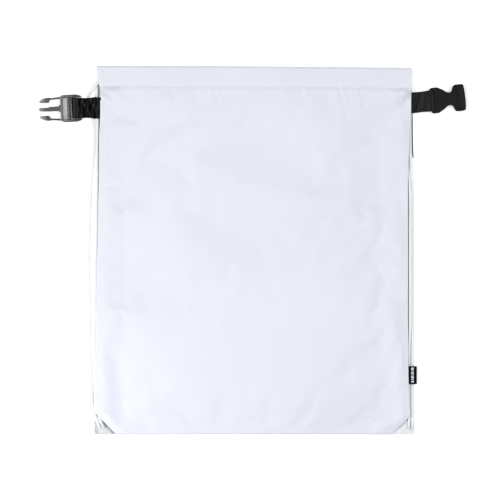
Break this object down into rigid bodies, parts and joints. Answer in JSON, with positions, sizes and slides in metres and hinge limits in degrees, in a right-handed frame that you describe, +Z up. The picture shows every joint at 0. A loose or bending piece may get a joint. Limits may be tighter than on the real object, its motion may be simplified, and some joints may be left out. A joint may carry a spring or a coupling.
{
  "type": "drawstring backpack",
  "caption": "Flat cloth drawstring backpack with side draw cords, open hems at the mouth, webbing loops carrying a side-release buckle and a folded side label.",
  "frame": {"origin": "middle of the back panel's underside, on the surface the bag lies on", "axes": "+X across the bag towards the female buckle half, +Y towards the mouth, +Z up out of the front panel"},
  "size_m": [0.4877, 0.4214, 0.0183],
  "materials": {
    "bag_cloth": "satin",
    "tab_cloth": "matte",
    "cord_braid": "matte",
    "webbing": "matte",
    "male_plastic": "satin",
    "female_plastic": "satin",
    "label_weave": "matte"
  },
  "bodies": {
    "bag": {"back_panel": "bag_cloth", "front_panel": "bag_cloth", "left_corner_tab": "tab_cloth", "right_corner_tab": "tab_cloth", "left_draw_cord": "cord_braid", "right_draw_cord": "cord_braid"},
    "left_loop": {"left_strap": "webbing"},
    "right_loop": {"right_strap": "webbing"},
    "male_half": {"male_buckle_frame": "male_plastic"},
    "upper_arm": {"upper_latch_arm": "male_plastic"},
    "lower_arm": {"lower_latch_arm": "male_plastic"},
    "female_half": {"female_buckle": "female_plastic"},
    "label": {"side_label": "label_weave"}
  },
  "joints": [
    {"name": "left_loop_fold", "type": "hinge", "parent": "bag", "child": "left_loop", "pos_m": [-0.1763, 0.1631, 0.0074], "axis": [0, 1, 0], "range_deg": [0, 105]},
    {"name": "right_loop_fold", "type": "hinge", "parent": "bag", "child": "right_loop", "pos_m": [0.1792, 0.1687, 0.0074], "axis": [0, -1, 0], "range_deg": [0, 105]},
    {"name": "male_half_swing", "type": "hinge", "parent": "left_loop", "child": "male_half", "pos_m": [-0.2049, 0.163, 0.0031], "axis": [-0.0436, 0.999, 0], "range_deg": [0, 60]},
    {"name": "female_half_swing", "type": "hinge", "parent": "right_loop", "child": "female_half", "pos_m": [0.2032, 0.1713, 0.0044], "axis": [0.1132, -0.9936, 0], "range_deg": [0, 60]},
    {"name": "upper_arm_squeeze", "type": "hinge", "parent": "male_half", "child": "upper_arm", "pos_m": [-0.22243, 0.17475, 0.0031], "axis": [0, 0, 1], "range_deg": [0, 8], "stiffness_Nm_per_rad": 1.5},
    {"name": "lower_arm_squeeze", "type": "hinge", "parent": "male_half", "child": "lower_arm", "pos_m": [-0.22134, 0.14977, 0.0031], "axis": [0, 0, -1], "range_deg": [0, 8], "stiffness_Nm_per_rad": 1.5},
    {"name": "label_flip", "type": "hinge", "parent": "bag", "child": "label", "pos_m": [0.17663, -0.1422, 0.0062], "axis": [0, -1, 0], "range_deg": [0, 95]}
  ]
}
